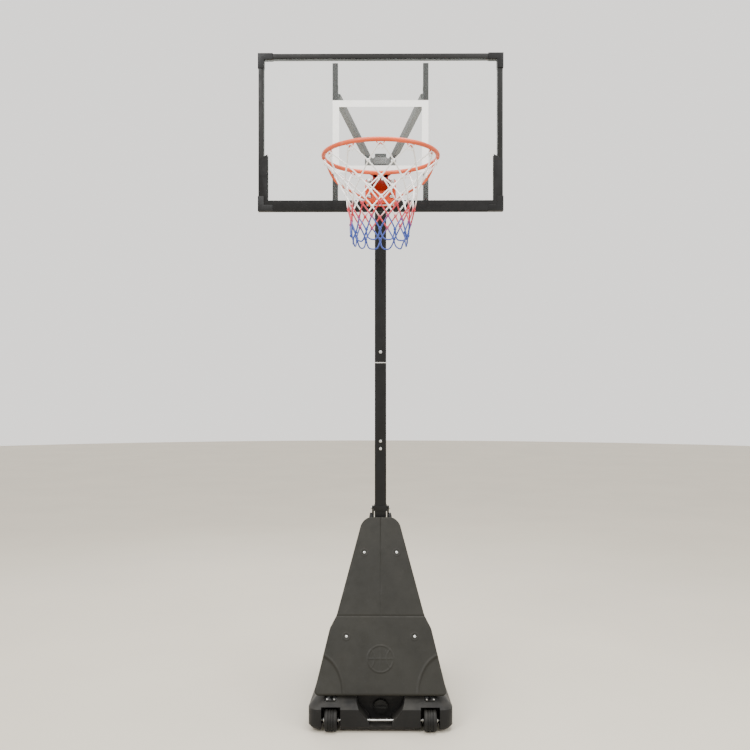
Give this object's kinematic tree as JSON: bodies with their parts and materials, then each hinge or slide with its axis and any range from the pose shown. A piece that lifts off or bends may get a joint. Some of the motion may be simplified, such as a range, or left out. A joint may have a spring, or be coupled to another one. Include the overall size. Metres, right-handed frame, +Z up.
{
  "type": "portable basketball hoop",
  "caption": "Free-standing basketball hoop on a wheeled ballast base, with a telescoping square pole, a clear framed board and a spring-loaded rim with a net.",
  "frame": {"origin": "on the floor under the pole's centre line", "axes": "+Z up, the board faces -Y, +X to the right seen from in front"},
  "size_m": [1.121, 1.669, 3.154],
  "materials": {
    "tank_plastic": "blow-moulded, fine grain",
    "ballast_water": "ballast inside the tank",
    "cap_plastic": "moulded black",
    "black_rubber": "matt",
    "wheel_plastic": "moulded black",
    "zinc_steel": "zinc plated",
    "spring_steel": "zinc plated",
    "pole_paint": "satin black powder coat",
    "nylon": "natural nylon",
    "panel_plastic": "dark olive grey, fine grain",
    "arm_paint": "silver grey powder coat",
    "frame_paint": "satin charcoal powder coat",
    "clear_sheet": "clear polycarbonate",
    "target_film": "printed white",
    "guard_foam": "matt black edge guard",
    "rim_paint": "gloss orange powder coat",
    "neck_paint": "dark red powder coat",
    "net_cord": "braided nylon, white, red and blue bands"
  },
  "bodies": {
    "base": {"base_tank": "tank_plastic", "ballast_fill": "ballast_water", "wheel_axle": "zinc_steel", "axle_retainers": "zinc_steel", "pole_boot": "black_rubber", "lower_pole": "pole_paint", "pole_bush": "nylon", "strut_collar": "pole_paint", "strut_top_bolts": "zinc_steel", "front_strut_left": "pole_paint", "front_strut_right": "pole_paint", "rear_strut_left": "pole_paint", "rear_strut_right": "pole_paint", "strut_foot_bolts": "zinc_steel", "front_panel": "panel_plastic", "panel_bolts": "zinc_steel"},
    "filler_cap": {"filler_cap": "cap_plastic", "cap_seal": "black_rubber"},
    "wheel_left": {"wheel_left": "wheel_plastic"},
    "wheel_right": {"wheel_right": "wheel_plastic"},
    "lock_screw_upper": {"lock_screw_upper": "zinc_steel"},
    "lock_screw_lower": {"lock_screw_lower": "zinc_steel"},
    "mast": {"upper_pole": "pole_paint", "inner_tube": "pole_paint", "joint_bolt": "zinc_steel", "pole_cap": "cap_plastic", "arm_bracket": "arm_paint", "arm_bracket_bolts": "zinc_steel", "arm_left": "arm_paint", "arm_right": "arm_paint", "arm_plates": "arm_paint", "arm_bolts": "zinc_steel", "boom_saddle": "arm_paint", "centre_boom": "arm_paint", "rear_mount_plate": "arm_paint", "boom_bolts": "zinc_steel", "frame_top": "frame_paint", "frame_bottom": "frame_paint", "frame_left": "frame_paint", "frame_right": "frame_paint", "upright_left": "frame_paint", "upright_right": "frame_paint", "board_sheet": "clear_sheet", "target_square": "target_film", "corner_caps": "cap_plastic", "edge_guard": "guard_foam", "rim_pad": "black_rubber", "rim_back_plate": "rim_paint", "rim_mount_bolts": "zinc_steel", "spring_bolts": "zinc_steel", "spring_left": "spring_steel", "spring_right": "spring_steel", "rim_pivot_pin": "zinc_steel"},
    "rim": {"rim_face_plate": "rim_paint", "rim_neck": "neck_paint", "rim_ring": "rim_paint", "rim_hooks": "rim_paint", "brace_left": "rim_paint", "brace_right": "rim_paint", "net_cords": "net_cord"}
  },
  "joints": [
    {"name": "height_adjust", "type": "slide", "parent": "base", "child": "mast", "axis": [0, 0, 1], "range_m": [0, 0.48]},
    {"name": "rim_flex", "type": "hinge", "parent": "mast", "child": "rim", "pos_m": [0, -0.575, 2.456], "axis": [1, 0, 0], "range_deg": [0, 10], "stiffness_Nm_per_rad": 300, "springref_deg": -17.19, "deforming": ["spring_left", "spring_right"]},
    {"name": "wheel_left_spin", "type": "hinge", "parent": "base", "child": "wheel_left", "pos_m": [-0.235, -0.415, 0.052], "axis": [1, 0, 0], "continuous": true},
    {"name": "wheel_right_spin", "type": "hinge", "parent": "base", "child": "wheel_right", "pos_m": [0.235, -0.415, 0.052], "axis": [1, 0, 0], "continuous": true},
    {"name": "filler_cap_turn", "type": "hinge", "parent": "base", "child": "filler_cap", "pos_m": [0, -0.33, 0.088], "axis": [0, -1, 0], "range_deg": [0, 540]},
    {"name": "lock_screw_upper_out", "type": "slide", "parent": "base", "child": "lock_screw_upper", "axis": [0, -1, 0], "range_m": [0, 0.005]},
    {"name": "lock_screw_lower_out", "type": "slide", "parent": "base", "child": "lock_screw_lower", "axis": [0, -1, 0], "range_m": [0, 0.005]}
  ]
}
